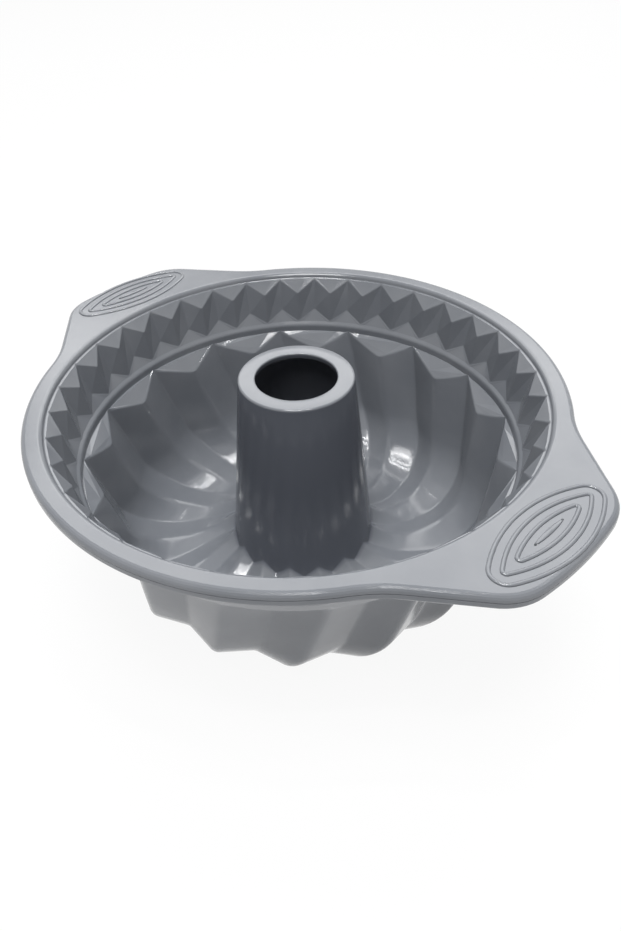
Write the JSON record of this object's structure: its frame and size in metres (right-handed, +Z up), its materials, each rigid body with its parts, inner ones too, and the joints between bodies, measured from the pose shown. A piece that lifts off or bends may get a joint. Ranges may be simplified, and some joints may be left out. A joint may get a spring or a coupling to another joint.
{
  "type": "fluted tube cake pan",
  "caption": "Flexible ring cake mould with a hollow centre tube, swirled flutes, a pleated band and wide grip handles on a steel-framed rim.",
  "frame": {"origin": "on the tube's axis, at the level of the flutes' flats that the pan rests on", "axes": "+Z up along the tube, +X through the middle of the right handle, the handles lie on the X axis"},
  "size_m": [0.294, 0.2434, 0.1037],
  "materials": {
    "silicone": "satin moulded silicone",
    "steel_wire": "drawn stainless wire"
  },
  "bodies": {
    "root": {"silicone_mould": "silicone", "rim_ring": "steel_wire", "handle_loop_right": "steel_wire", "handle_loop_left": "steel_wire"}
  },
  "joints": []
}
